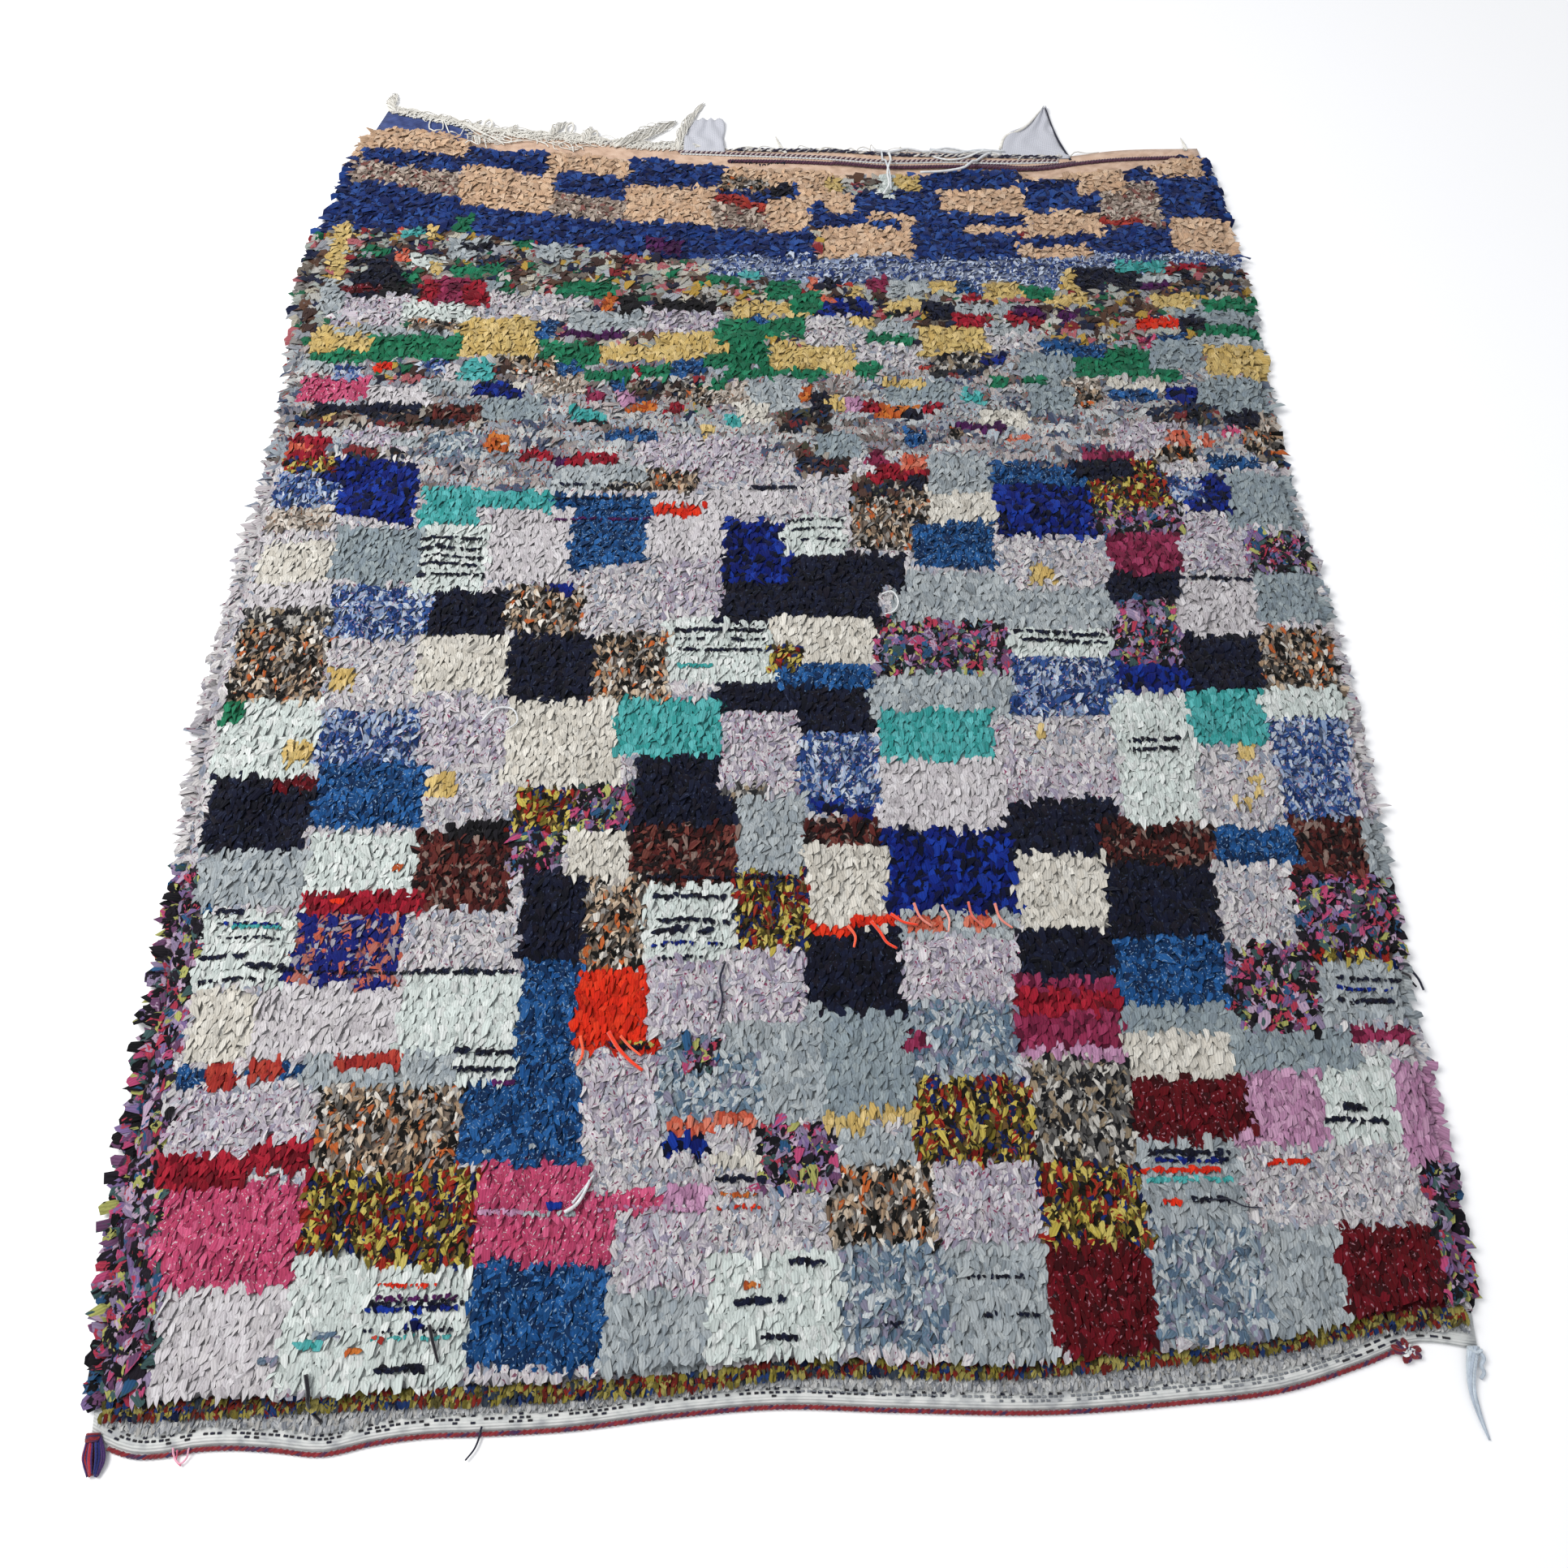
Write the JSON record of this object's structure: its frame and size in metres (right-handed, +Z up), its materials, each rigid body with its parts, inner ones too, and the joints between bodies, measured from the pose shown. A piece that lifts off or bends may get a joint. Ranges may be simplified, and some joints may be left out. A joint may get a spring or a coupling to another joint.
{
  "type": "boucherouite rug",
  "caption": "Hand-knotted rag rug lying flat, with shaggy patchwork pile, flat-woven ends, a corded near edge and a cotton warp fringe.",
  "frame": {"origin": "on the floor, under the middle of the rug's box", "axes": "+X across the rug to the right, +Y along it to the far, fringed end, +Z up out of the pile"},
  "size_m": [1.6462, 2.2798, 0.032],
  "materials": {
    "rag_pile": "matte knotted rag strips in many colours",
    "edging_yarn": "matte twisted yarn, red with dark blue",
    "cotton_warp": "matte cotton yarn",
    "ground_cloth": "thin pale plain weave"
  },
  "bodies": {
    "root": {"rug": "rag_pile", "edge_cord": "edging_yarn", "cord_end_knot": "edging_yarn", "corner_tassel": "edging_yarn", "warp_tail": "cotton_warp", "warp_fringe": "cotton_warp", "corner_wisp": "cotton_warp", "warp_flap_left": "ground_cloth", "warp_flap_right": "ground_cloth"}
  },
  "joints": []
}
